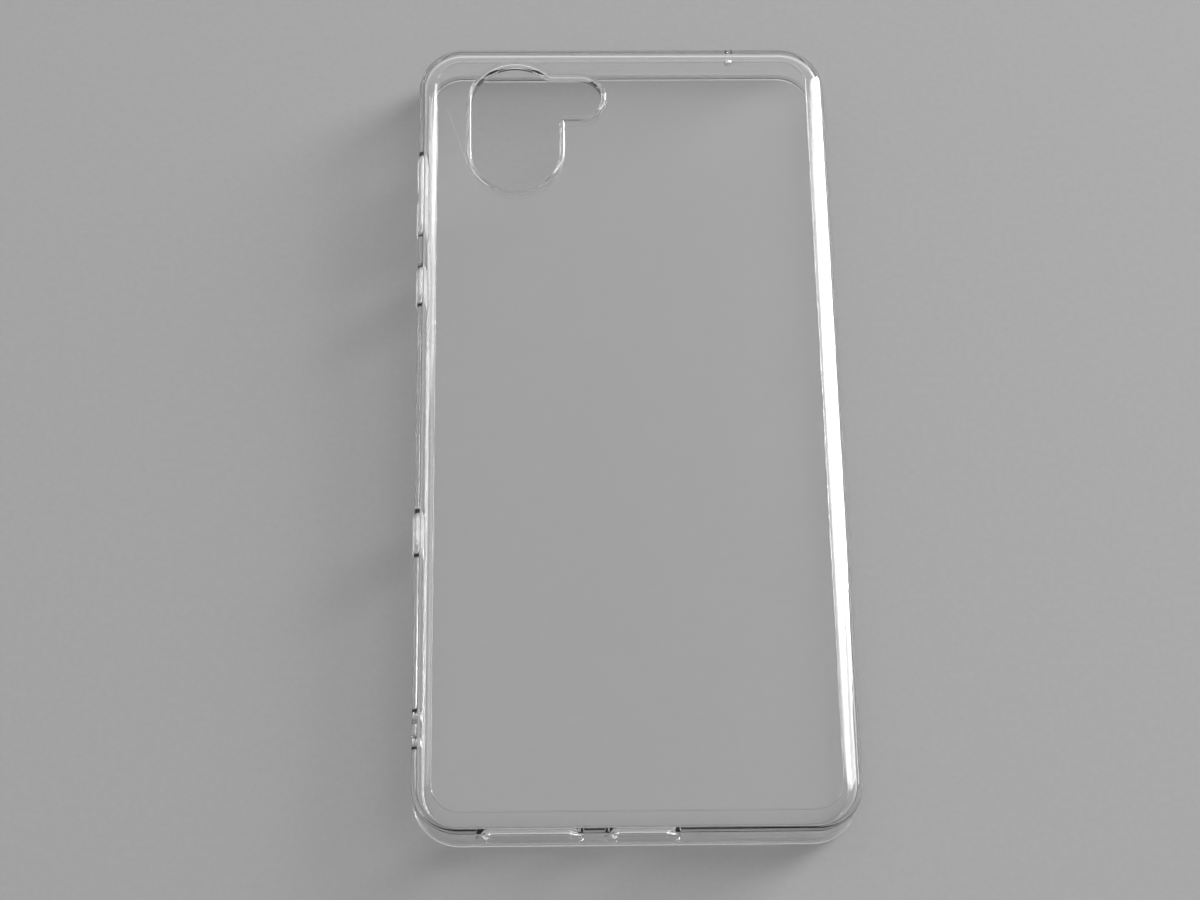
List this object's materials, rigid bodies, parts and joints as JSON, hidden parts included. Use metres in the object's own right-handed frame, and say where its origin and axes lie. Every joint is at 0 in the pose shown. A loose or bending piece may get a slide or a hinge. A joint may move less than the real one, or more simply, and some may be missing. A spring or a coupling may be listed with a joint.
{
  "type": "phone case",
  "caption": "Clear protective phone case with a hard back panel, soft bumper frame, camera guard and press-through key covers.",
  "frame": {"origin": "middle of the case's outline, on the plane of the front rim that it lies on", "axes": "+Y along the case towards the camera end, +Z out of the back, -X towards the side with the keys"},
  "size_m": [0.0744, 0.149, 0.0107],
  "materials": {
    "clear_panel": "glossy clear hard plastic",
    "clear_bumper": "glossy clear soft plastic, thicker at the edges",
    "clear_keys": "glossy clear soft plastic"
  },
  "bodies": {
    "case": {"back_panel": "clear_panel", "bumper_frame": "clear_bumper", "camera_guard": "clear_bumper"},
    "volume_up": {"volume_up_cover": "clear_keys"},
    "volume_down": {"volume_down_cover": "clear_keys"},
    "power": {"power_key_cover": "clear_keys"},
    "assist": {"assist_key_cover": "clear_keys"}
  },
  "joints": [
    {"name": "volume_up_press", "type": "slide", "parent": "case", "child": "volume_up", "axis": [1, 0, 0], "range_m": [0, 0.0003], "stiffness_N_per_m": 1500},
    {"name": "volume_down_press", "type": "slide", "parent": "case", "child": "volume_down", "axis": [1, 0, 0], "range_m": [0, 0.0003], "stiffness_N_per_m": 1500},
    {"name": "power_press", "type": "slide", "parent": "case", "child": "power", "axis": [1, 0, 0], "range_m": [0, 0.0003], "stiffness_N_per_m": 1500},
    {"name": "assist_press", "type": "slide", "parent": "case", "child": "assist", "axis": [1, 0, 0], "range_m": [0, 0.0003], "stiffness_N_per_m": 1500}
  ]
}
